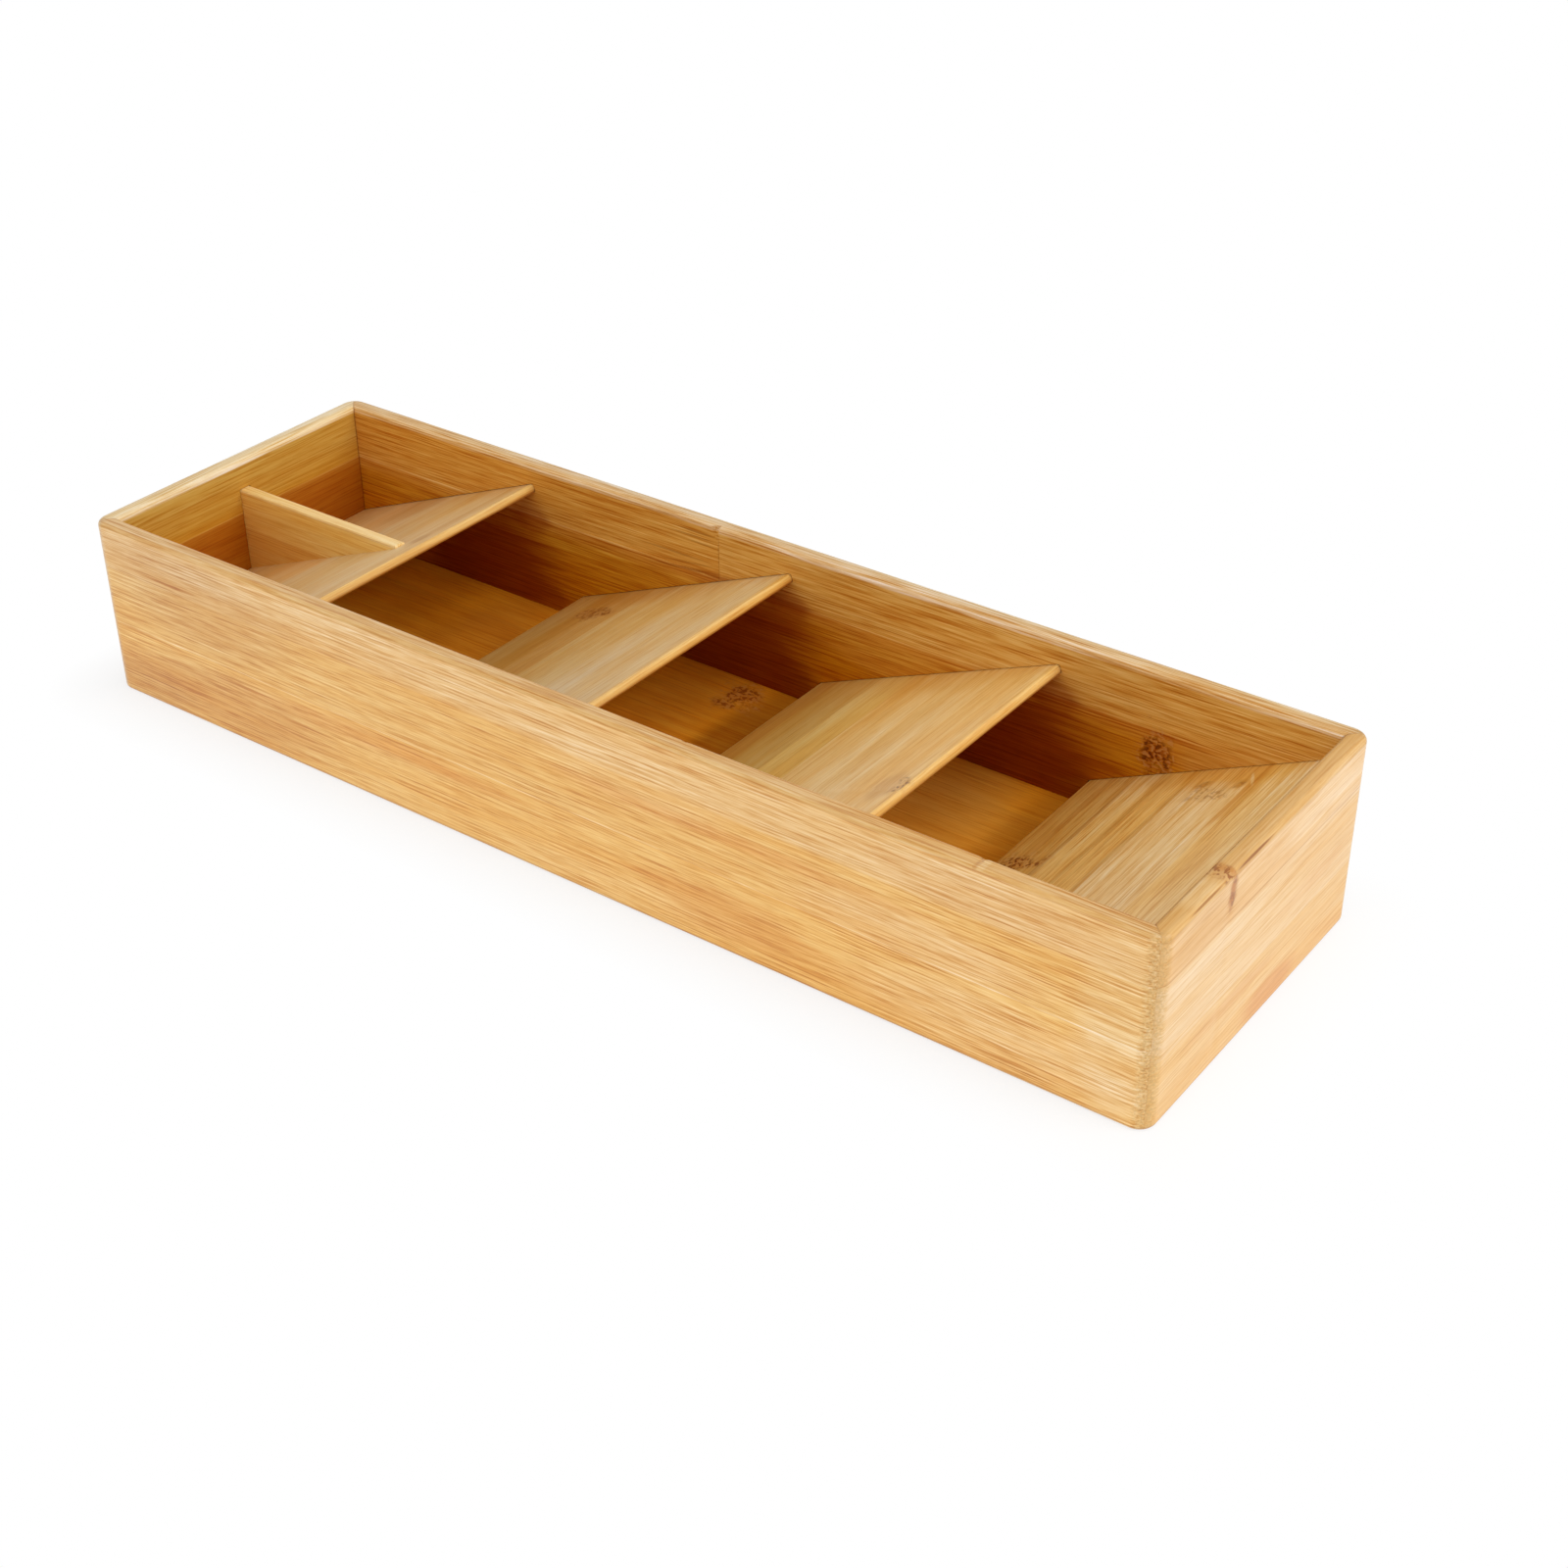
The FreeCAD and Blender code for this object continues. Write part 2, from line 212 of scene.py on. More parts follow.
# Laminated bamboo, planed and rubbed with satin lacquer: straight fibres along each board, strips of
# differing honey tones, dark bundle ends where a cut crosses the fibres, and a soft sheen at low angles
finish = {
    "amber": "#b0702c", "brown": "#6a2606", "bone": "#e8c07a", "endGrain": "#b28f5a",
    "clouds": 0.45, "streaks": 0.45, "fibres": 1.5, "lines": 0.24, "gleams": 0.14, "flecks": 0.26,
    "wander": 0.6, "ends": 0.0, "endsFrom": 0.4, "endsFull": 0.9, "ragged": 0.8,
    "roughness": 0.4, "uneven": 0.08, "coat": 0.2, "gloss": 0.5, "bump": 0.004,
    "inside": None, "under": "", "marked": "", "patches": (), "knots": (), "butts": (), "halfRun": 0.0,
}
# Length and width of each pattern in millimetres, with its detail. Real fibres are 0.2 to 0.5 mm apart,
# too fine to show, so the finest patterns are drawn coarser than that
patterns = {
    "clouds": (130, 22, 1), "streaks": (90, 4.0, 3), "fibres": (20, 0.55, 3), "lines": (36, 0.55, 1),
    "flecks": (6, 0.6, 1),
}
# Sizes in millimetres of the fibres' sway, a knuckle's strokes and uneven outline, and cut fibre ends
swaySize, strokeSize, outlineSize, speckSize = (90, 24, 24), (1.6, 1.3, 1.3), (6, 6, 6), (0.6, 0.75, 0.6)
seedStep = (131.0, 47.0, 29.0)  # how far apart two boards' parts of the noise lie, in millimetres
# Where a look starts and where it is full: in a noise that lies around 0.5, then in shares of a mark's
# half size, then in millimetres through the board
fades = {
    "lines": (0.52, 0.7), "gleams": (0.46, 0.3), "strokes": (0.5, 0.6), "glints": (0.47, 0.38),
    "specks": (0.35, 0.65), "satin": (0.25, 0.75),
    "patch": (1.1, 0.5), "smear": (1.15, 0.25), "core": (1.1, 0.55),
    "outerFace": (0.6, 5.5), "outside": (1.0, 2.0), "inside": (2.0, 1.0), "under": (1.6, 2.4),
    "cutEnds": (2.5, 4.0), "glue": (0.5, 0.1), "glueInside": (4.0, 0.5),
}
# On a mitred board: where the cut fibres start and are full, from its end in millimetres, how far they fray,
# and how strongly they and the glue line show
mitre = {"cutFrom": 5.2, "cutFull": 2.4, "fray": 1.6, "cut": 0.58, "glue": 0.5, "glueOutside": 0.12}
knuckle = {"pull": (1.6, 1.6, 0), "fray": 0.9}  # how far its outline is pulled out of an oval, and frayed
# What one unit of tone multiplies red, green and blue by: dark fibres turn amber and pale ones cream
fineHue, broadHue = (1.6, 2.7, 8.5), (1.3, 2.7, 18.0)


def fade(label):
    return dict(zip(("From Min", "From Max"), fades[label]))


def bamboo(name, changes):
    look = {**finish, **changes}
    material = bpy.data.materials.new(name)
    material.use_nodes = True
    tree = material.node_tree
    tree.nodes.clear()
    add = partial(put, tree)
    grain = add("ShaderNodeAttribute", pick="Vector", attribute_name="grain")  # along, across, through in mm
    along, across, through = add("ShaderNodeSeparateXYZ", {0: grain}).node.outputs[:]
    fromMiddle = add(mathNode, {0: along}, operation="ABSOLUTE")

    # Every pattern is a noise stretched along the fibres, which wander a little. Each board has another part
    place = add(vectorNode, {0: grain, 1: [look["seed"] * step for step in seedStep]}, operation="ADD")
    slow = add(vectorNode, {0: place, 1: [1 / size for size in swaySize]}, operation="MULTIPLY")
    sway = add(noiseNode, {"Vector": slow, "Scale": 1.0, "Detail": 1.0})
    wander = (0, look["wander"], look["wander"])
    bent = add(vectorNode, {0: sway, 1: wander, 2: place}, operation="MULTIPLY_ADD")
    layer = {}
    for label, (length, width, detail) in patterns.items():
        stretched = add(vectorNode, {0: bent, 1: (1 / length, 1 / width, 1 / width)}, operation="MULTIPLY")
        layer[label] = add(noiseNode, {"Vector": stretched, "Scale": 1.0, "Detail": detail, "Roughness": 0.6})

    # Strips glued edge to edge, each with a colour from where it starts across the board
    sides = []
    for strips, blend in ((look["strips"], "CONSTANT"), (look["inside"], "LINEAR")):
        if strips:
            height = strips[-1][0]
            share = add(rangeNode, {"Value": across, "From Max": height})
            band = add("ShaderNodeValToRGB", {"Fac": share})
            ramp = band.node.color_ramp
            ramp.interpolation = blend
            ramp.elements.remove(ramp.elements[-1])
            for start, code in strips[:-1]:
                stop = ramp.elements.new(start / height) if start else ramp.elements[0]
                stop.position, stop.color = start / height, colour(code)
            sides.append(band)
    shade, coat = sides[0], look["coat"]
    # Painted shade: an inner face takes darker, redder strips than its outer face
    if look["inside"]:  # the inner face is redder, and got no coat
        depth = add(rangeNode, {"Value": through, **fade("outerFace")})
        shade = add(mixNode, {0: depth, 6: sides[1], 7: sides[0]}, **ofColours)
        coat = add(mathNode, {0: depth, 1: look["coat"]}, operation="MULTIPLY")
    onFace = 1.0  # marks stay on the face that has them, or on the rim
    if look["marked"]:
        onFace = add(rangeNode, {"Value": through, **fade(look["marked"])})
        if look["halfRun"]:
            rimStart = tray["height"] - tray["rimRounding"]
            onRim = add(mathNode, {0: across, 1: rimStart}, operation="GREATER_THAN")
            onFace = add(mathNode, {0: onFace, 1: onRim}, operation="MAXIMUM")
    if look["under"]:  # painted shade: the underside of a slanted board is drawn darker
        depth = add(rangeNode, {"Value": through, **fade("under")})
        shade = add(mixNode, {0: depth, 6: shade, 7: colour(look["under"])}, **ofColours)

    # Fine tones: dark and pale lines, fibres and flecks
    tone = add(rangeNode, {"Value": layer["lines"], **fade("lines"), "To Max": -look["lines"]})
    gleam = add(rangeNode, {"Value": layer["lines"], **fade("gleams"), "To Max": look["gleams"]})
    tone = add(mathNode, {0: tone, 1: gleam}, operation="ADD")
    for label in ("fibres", "flecks"):
        centred = add(mathNode, {0: layer[label], 1: 0.5}, operation="SUBTRACT")
        tone = add(mathNode, {0: centred, 1: look[label], 2: tone}, operation="MULTIPLY_ADD")
    if look["ends"]:  # fibres stand out more towards the ends of a board
        stronger = add(rangeNode, {
            "Value": fromMiddle, "From Min": look["halfRun"] * look["endsFrom"],
            "From Max": look["halfRun"] * look["endsFull"], "To Min": 1.0, "To Max": 1.0 + look["ends"]})
        tone = add(mathNode, {0: tone, 1: stronger}, operation="MULTIPLY")
    halved = add(mathNode, {0: tone, 1: 0.5}, operation="MULTIPLY")
    tone = add(mathNode, {0: tone, 1: halved}, operation="MINIMUM")  # pale fibres show half as much as dark

    # Broad tones: clouds, streaks, and strips that are pieced from two lengths
    broad = 0.0
    for label in ("clouds", "streaks"):
        centred = add(mathNode, {0: layer[label], 1: 0.5}, operation="SUBTRACT")
        broad = add(mathNode, {0: centred, 1: look[label], 2: broad}, operation="MULTIPLY_ADD")
    for start, low, high, change in look["butts"]:
        before = add(mathNode, {0: along, 1: start}, operation="LESS_THAN")
        inStrip = add(mathNode, {0: across, 1: (low + high) / 2, 2: (high - low) / 2}, operation="COMPARE")
        length = add(mathNode, {0: before, 1: inStrip}, operation="MULTIPLY")
        broad = add(mathNode, {0: length, 1: change, 2: broad}, operation="MULTIPLY_ADD")
    fineGain = add(vectorNode, {0: fineHue, 1: tone}, operation="POWER")
    broadGain = add(vectorNode, {0: broadHue, 1: broad}, operation="POWER")
    gain = add(vectorNode, {0: fineGain, 1: broadGain}, operation="MULTIPLY")

    # Soft patches of another tone, with a ragged edge
    ragged = add(mathNode, {0: layer["streaks"], 1: 0.5}, operation="SUBTRACT")
    for centreAlong, centreAcross, halfLength, halfWidth, code, amount, *lean in look["patches"]:
        local = add(vectorNode, {0: grain, 1: (centreAlong, centreAcross, 0)}, operation="SUBTRACT")
        if lean:
            local = add(
                "ShaderNodeVectorRotate", {"Vector": local, "Angle": -lean[0]}, rotation_type="Z_AXIS")
        oval = add(vectorNode, {0: local, 1: (1 / halfLength, 1 / halfWidth, 0)}, operation="MULTIPLY")
        reach = add(vectorNode, {0: oval}, pick="Value", operation="LENGTH")
        torn = add(mathNode, {0: ragged, 1: look["ragged"], 2: reach}, operation="MULTIPLY_ADD")
        mask = add(rangeNode, {"Value": torn, **fade("patch"), "To Max": amount}, **softly)
        mask = add(mathNode, {0: mask, 1: onFace}, operation="MULTIPLY")
        shade = add(mixNode, {0: mask, 6: shade, 7: colour(code)}, **ofColours)
    shade = add(vectorNode, {0: shade, 1: gain}, operation="MULTIPLY")

    # Knuckles of the cane: a soft smear with short darker strokes, and in some bone coloured ones between
    strokePlace = add(vectorNode, {0: place, 1: [1 / size for size in strokeSize]}, operation="MULTIPLY")
    strokeNoise = add(noiseNode, {"Vector": strokePlace, "Scale": 1.0, "Detail": 1.0, "Distortion": 0.5})
    strokes = add(rangeNode, {"Value": strokeNoise, **fade("strokes")})
    glints = add(rangeNode, {"Value": strokeNoise, **fade("glints")})
    fray = add(mathNode, {0: strokeNoise, 1: 0.5}, operation="SUBTRACT")
    outlinePlace = add(vectorNode, {0: place, 1: [1 / size for size in outlineSize]}, operation="MULTIPLY")
    outline = add(noiseNode, {"Vector": outlinePlace, "Scale": 1.0, "Detail": 1.0}, pick="Color")
    pull = add(vectorNode, {0: outline, 1: (0.5, 0.5, 0.5)}, operation="SUBTRACT")
    for knot in look["knots"]:
        (knotAlong, knotAcross), (halfLength, halfWidth) = knot["at"], knot["half"]
        local = add(vectorNode, {0: grain, 1: (knotAlong, knotAcross, 0)}, operation="SUBTRACT")
        oval = add(vectorNode, {0: local, 1: (1 / halfLength, 1 / halfWidth, 0)}, operation="MULTIPLY")
        pulled = add(vectorNode, {0: pull, 1: knuckle["pull"], 2: oval}, operation="MULTIPLY_ADD")
        reach = add(vectorNode, {0: pulled}, pick="Value", operation="LENGTH")
        torn = add(mathNode, {0: fray, 1: knuckle["fray"], 2: reach}, operation="MULTIPLY_ADD")
        smear = add(rangeNode, {"Value": torn, **fade("smear"), "To Max": knot["stain"]}, **softly)
        smear = add(mathNode, {0: smear, 1: onFace}, operation="MULTIPLY")
        shade = add(mixNode, {0: smear, 6: shade, 7: colour(knot.get("smear", look["amber"]))}, **ofColours)
        core = add(rangeNode, {"Value": torn, **fade("core"), "To Max": knot["flecks"]}, **softly)
        core = add(mathNode, {0: core, 1: onFace}, operation="MULTIPLY")
        dark = add(mathNode, {0: core, 1: strokes}, operation="MULTIPLY")
        shade = add(mixNode, {0: dark, 6: shade, 7: colour(knot.get("tint", look["brown"]))}, **ofColours)
        if "glint" in knot:
            glint = add(mathNode, {0: core, 1: glints}, operation="MULTIPLY")
            glint = add(mathNode, {0: glint, 1: knot["glint"]}, operation="MULTIPLY")
            shade = add(mixNode, {0: glint, 6: shade, 7: colour(look["bone"])}, **ofColours)

    if look["halfRun"]:  # a mitred board shows cut fibres on its upright corner and a glue line inside
        end = look["halfRun"]
        speckPlace = add(vectorNode, {0: place, 1: [1 / size for size in speckSize]}, operation="MULTIPLY")
        specks = add(noiseNode, {"Vector": speckPlace, "Scale": 1.0, "Detail": 1.0})
        dots = add(rangeNode, {"Value": specks, **fade("specks"), "To Min": 0.5, "To Max": 1.0})
        fray = add(mathNode, {0: specks, 1: 0.5}, operation="SUBTRACT")
        torn = add(mathNode, {0: fray, 1: mitre["fray"], 2: fromMiddle}, operation="MULTIPLY_ADD")
        corner = add(rangeNode, {
            "Value": torn, "From Min": end - mitre["cutFrom"], "From Max": end - mitre["cutFull"],
            "To Max": mitre["cut"]})
        outer = add(rangeNode, {"Value": through, **fade("cutEnds")})
        cut = add(mathNode, {0: corner, 1: outer}, operation="MULTIPLY")
        cut = add(mathNode, {0: cut, 1: dots}, operation="MULTIPLY")
        shade = add(mixNode, {0: cut, 6: shade, 7: colour(look["endGrain"])}, **ofColours)
        reach = add(mathNode, {0: through, 1: end - tray["wall"]}, operation="ADD")
        toMitre = add(mathNode, {0: reach, 1: fromMiddle}, operation="SUBTRACT")
        line = add(rangeNode, {"Value": toMitre, **fade("glue"), "To Max": mitre["glue"]})
        inner = add(rangeNode, {
            "Value": through, **fade("glueInside"), "To Min": mitre["glueOutside"], "To Max": 1.0})
        line = add(mathNode, {0: line, 1: inner}, operation="MULTIPLY")
        shade = add(mixNode, {0: line, 6: shade, 7: colour(look["brown"])}, **ofColours)

    rough = add(rangeNode, {
        "Value": layer["streaks"], **fade("satin"),
        "To Min": look["roughness"] + look["uneven"], "To Max": look["roughness"] - look["uneven"]})
    bump = add("ShaderNodeBump", {"Height": tone, "Strength": 0.6, "Distance": look["bump"] * mm})
    wood = add("ShaderNodeBsdfPrincipled", {
        "Base Color": shade, "Roughness": rough, "IOR": 1.5, "Specular IOR Level": look["gloss"],
        "Normal": bump, "Coat Weight": coat, "Coat Roughness": 0.3})
    add("ShaderNodeOutputMaterial", {"Surface": wood})
    return material


def writeGrain(piece, origin, along, across, through):
    axes = [Vector(axis) for axis in (along, across, through)]
    middle = Vector(origin)
    mesh = piece.data
    layer = mesh.attributes.new("grain", "FLOAT_VECTOR", "POINT")
    for vertex, item in zip(mesh.vertices, layer.data):
        offset = vertex.co / mm - middle
        item.vector = [offset.dot(axis) for axis in axes]


# A worn spot on an edge: points near it move by the push, most at its middle
def press(piece, spots):
    for centre, radius, push in spots:
        for vertex in piece.data.vertices:
            near = 1 - (vertex.co / mm - Vector(centre)).length / radius
            if near > 0:
                vertex.co += Vector(push) * mm * near * near * (3 - 2 * near)


def dress(piece, node):
    mesh = piece.data
    mesh.polygons.foreach_set("use_smooth", [True] * len(mesh.polygons))
    mesh.set_sharp_from_angle(angle=sharpFrom)
    weights = piece.modifiers.new("flatFaces", "WEIGHTED_NORMAL")  # keeps broad faces flat beside roundings
    weights.mode, weights.keep_sharp = "FACE_AREA", True
    settle(piece)
    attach(piece, "root")
    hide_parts(node)


# A closed block between two outlines with as many points
def solid(name, lower, upper):
    mesh = bmesh.new()
    rings = [[mesh.verts.new(Vector(point) * mm) for point in outline] for outline in (lower, upper)]
    for ring in rings:
        mesh.faces.new(ring)
    for i in range(len(lower)):
        mesh.faces.new((rings[0][i - 1], rings[0][i], rings[1][i], rings[1][i - 1]))
    bmesh.ops.recalc_face_normals(mesh, faces=mesh.faces)
    data = bpy.data.meshes.new(name)
    mesh.to_mesh(data)
    mesh.free()
    piece = bpy.data.objects.new(name, data)
    scene.collection.objects.link(piece)
    return piece


def block(name, low, high):
    (x0, y0, z0), (x1, y1, z1) = low, high
    corners = ((x0, y0), (x1, y0), (x1, y1), (x0, y1))
    return solid(name, [(x, y, z0) for x, y in corners], [(x, y, z1) for x, y in corners])


def carve(piece, cutters):
    for cutter in cutters:
        cut = piece.modifiers.new(cutter.name, "BOOLEAN")
        cut.operation, cut.solver, cut.object = "DIFFERENCE", "EXACT", cutter
    return settle(piece)


wallTree, boardTree = mitredWallTree(), slantedBoardTree()

# Slanted boards: the foot's upper edge, the level run and the head's height, all in millimetres.
# A look gives strips by where they start up the slope. A patch is its place along and up the board, its half
# length and width, its colour, how much of it shows, and for some how it leans
ramps = {
    "pocketRamp": {
        "node": "pocket_ramp", "foot": (-193.5, 22.0), "run": 85.0, "head": 56.1, "plumb": "foot",
        "look": {
            "seed": 1,
            "strips": [
                (0, "#d9b275"), (22, "#ddb070"), (45, "#d9b275"), (68, "#dbb57a"), (89.8, "#e3b25e"),
                (92, "#e3b25e")],
            "patches": [
                (6, 84, 5, 3, "#a9743a", 0.5), (30, 84, 30, 4, "#c8964f", 0.5),
                (50, 40, 26, 12, "#b5803c", 0.45), (56, 66, 18, 26, "#cf9c55", 0.3)]}},
    "leftBayRamp": {
        "node": "left_bay_ramp", "foot": (-89.01, 18.0), "run": 90.5, "head": 54.9, "plumb": "",
        "look": {
            "seed": 2, "fibres": 1.8, "clouds": 0.75,
            "strips": [
                # The strips below 37 mm up the slope are darkened as painted shade near the foot
                (0, "#cb9749"), (12, "#c89342"), (23, "#d1a056"), (37, "#dcb572"), (62, "#ddb87b"),
                (95.7, "#e3b25e"), (98, "#e3b25e")],
            "patches": [(56, 32, 20, 28, "#c08436", 0.5)],
            "knots": [
                {"at": (35.5, 24.5), "half": (5.5, 13), "stain": 0.6, "flecks": 0.75, "smear": "#a8661e",
                 "tint": "#7e4208", "glint": 0.3}]}},
    "middleBayRamp": {
        "node": "middle_bay_ramp", "foot": (12.97, 18.0), "run": 88.8, "head": 54.9, "plumb": "",
        "look": {
            "seed": 3,
            "strips": [
                (0, "#cc9340"), (9, "#d2a04c"), (27, "#e3b35a"), (42, "#ebbe73"), (66, "#eaba6e"),
                (94.1, "#e6b25c"), (97, "#e6b25c")],
            "patches": [
                (-28, 89, 10, 6, "#c08d55", 0.4), (5, 57, 60, 6, "#f2ca86", 0.4),
                (10, 67, 60, 5, "#dcab60", 0.35), (56, 58, 22, 46, "#dba650", 0.6)],
            "knots": [
                {"at": (-27, 93), "half": (6, 2.6), "stain": 0.4, "flecks": 0.85, "smear": "#b8782a",
                 "tint": "#744000", "glint": 0.5}]}},
    "rightBayRamp": {
        "node": "right_bay_ramp", "foot": (114.5, 18.0), "run": 79.0, "head": 54.9, "plumb": "head",
        "look": {
            "seed": 4, "fibres": 2.5, "lines": 0.28, "clouds": 0.7,
            "strips": [(0, "#dda853"), (19, "#edbd6c"), (41.8, "#efca8e"), (66, "#ecbf74"), (88, "#ecbf74")],
            "patches": [
                (10, 19, 70, 1.5, "#b98038", 0.55), (10, 41, 70, 1.5, "#c08a40", 0.55),
                (20, 10, 60, 1.6, "#c98a38", 0.6), (15, 30.5, 50, 1.5, "#c8923f", 0.6),
                (10, 34.5, 50, 1.2, "#d09c4a", 0.4), (54, 58, 17, 27, "#dfa544", 0.85),
                (34, 66.5, 21, 3.2, "#d2963c", 0.75), (56, 26, 16, 20, "#d59b44", 0.5),
                (40, 53, 7, 10, "#e4c790", 0.3), (45.5, 63.5, 6, 0.6, "#efd9a8", 0.6, -0.46)],
            "knots": [
                {"at": (-1.5, 8.5), "half": (7, 11), "stain": 0.55, "flecks": 0.95, "smear": "#b86c14",
                 "tint": "#7a3a00", "glint": 0.3},
                {"at": (37, 53), "half": (6, 11), "stain": 0.2, "flecks": 0.5, "smear": "#c08a3c",
                 "tint": "#8c5204", "glint": 0.35},
                {"at": (43.5, 48), "half": (2.8, 3.2), "stain": 0.8, "flecks": 0.5, "smear": "#bd8028",
                 "tint": "#8a5012"},
                {"at": (42.5, 61.8), "half": (3.2, 2.8), "stain": 0.8, "flecks": 0.5, "smear": "#bd8028",
                 "tint": "#8a5012"}]}},
}
# The ramps' undersides take a darker colour as painted shade
rampFinish = {
    "marked": "inside", "under": "#b87a30",
    "fibres": 1.3, "lines": 0.14, "flecks": 0.4, "streaks": 0.5, "clouds": 0.55,
}
rampStations = 115
chips = {"middleBayRamp": [((100.2, -30, 54.2), 3.0, (-0.5, 0, -0.5))]}  # place, radius and push

boards, slots = {}, []
for name, board in ramps.items():
    (footX, footZ), run = board["foot"], board["run"]
    tilt = math.atan2(board["head"] - footZ, run)
    uphill = Vector((math.cos(tilt), 0, math.sin(tilt)))
    lift = Vector((-math.sin(tilt), 0, math.cos(tilt)))
    bevel = tray["rampThickness"] * math.tan(tilt)  # makes an end plumb where it stands on an end wall
    foot = Vector((footX, 0, footZ))
    sizes = {
        "Slope Length": run / math.cos(tilt), "Thickness": tray["rampThickness"],
        "Half Width": innerWidth + tray["housing"] - slotSide, "Stations": rampStations,
        "Tilt": tilt, "Foot": foot,
        "Foot Bevel": bevel if board["plumb"] == "foot" else 0.0,
        "Head Bevel": bevel if board["plumb"] == "head" else 0.0,
        "Foot Rounding": 0.0 if board["plumb"] == "foot" else tray["rampRounding"],
        "Head Rounding": 0.0 if board["plumb"] == "head" else tray["rampRounding"],
        "Material": bamboo("bamboo, planed and lacquered, " + board["node"].replace("_", " "),
                           {**rampFinish, **board["look"]})}
    ramp = grow(name, boardTree, sizes)
    press(ramp, chips.get(name, []))
    writeGrain(ramp, foot, (0, 1, 0), uphill, -lift)
    boards[name] = ramp
    slots.append(grow(name + "Slot", boardTree, {
        **sizes, "Slope Length": sizes["Slope Length"] + 2 * slotPast,
        "Thickness": tray["rampThickness"] + slotOver, "Half Width": innerWidth + tray["housing"],
        "Stations": 2, "Foot": foot - slotPast * uphill + slotOver * lift}))
print("slanted boards:", len(boards))

# The floor panel lies in a groove all round, and the divider's end stands in the left wall
grooveX, grooveY = innerLength + tray["groove"], innerWidth + tray["groove"]
panelFoot = tray["floor"] - tray["panel"]
groove = block("grooveCutter", (-grooveX, -grooveY, panelFoot), (grooveX, grooveY, tray["floor"] + slotSide))
divider = {
    "thickness": 4.5, "top": 52.5, "nose": 0.8, "rounding": 0.7, "housed": 1.85, "free": 4.0,
    "look": {"seed": 9, "strips": [(0, "#ebb85d"), (16, "#f6cd74"), (29.4, "#f0ca82"), (31, "#f0ca82")]},
}
side = divider["thickness"] / 2
stall = block("stallCutter",
              (-innerLength - tray["housing"], -side - slotSide, ramps["pocketRamp"]["foot"][1]),
              (-innerLength + divider["free"], side + slotSide, divider["top"] + slotSide))

# The back wall's upper strip is pieced from two lengths: the left one lies deeper, with a hollow at the seam.
# The cutters start a little before the wall's face and end above its rim
seam = {
    "along": -27.3, "from": 44.1, "to": 70, "step": 0.45, "fade": 90.0, "thin": 0.01, "free": 0.4,
    "hollow": 1.7, "hollowRun": 6.5, "hollowFrom": 50.0, "hollowTo": 64, "hollowTip": 0.1,
}
before, fore = seam["along"], innerWidth - seam["free"]
stepped, faded, tip = innerWidth + seam["step"], before - seam["fade"], seam["hollowTip"]
deeper = [(before, fore), (before, stepped), (faded, innerWidth - seam["thin"]), (faded, fore)]
seamCutter = solid("seamCutter", *([(x, y, seam[end]) for x, y in deeper] for end in ("from", "to")))
point = [(before, fore), (before, fore + tip), (before - tip, fore)]
mouth = [(before, fore), (before, stepped + seam["hollow"]), (before - seam["hollowRun"], fore)]
hollowCutter = solid("hollowCutter", [(x, y, seam["hollowFrom"]) for x, y in point],
                     [(x, y, seam["hollowTo"]) for x, y in mouth])

# Walls: their strips start at a height, and marks lie along the wall and up it.
# Three of the inner faces share these strips below the rim. They are darker and redder than the outer faces'
# and darker still towards the floor: painted shade inside the tray
inside = [
    (0, "#cc760a"), (24, "#ce7e0a"), (38, "#c9821a"), (43.4, "#ca852e"), (43.7, "#e6b463"), (44.1, "#daa24c"),
    (60.8, "#d29a46")]
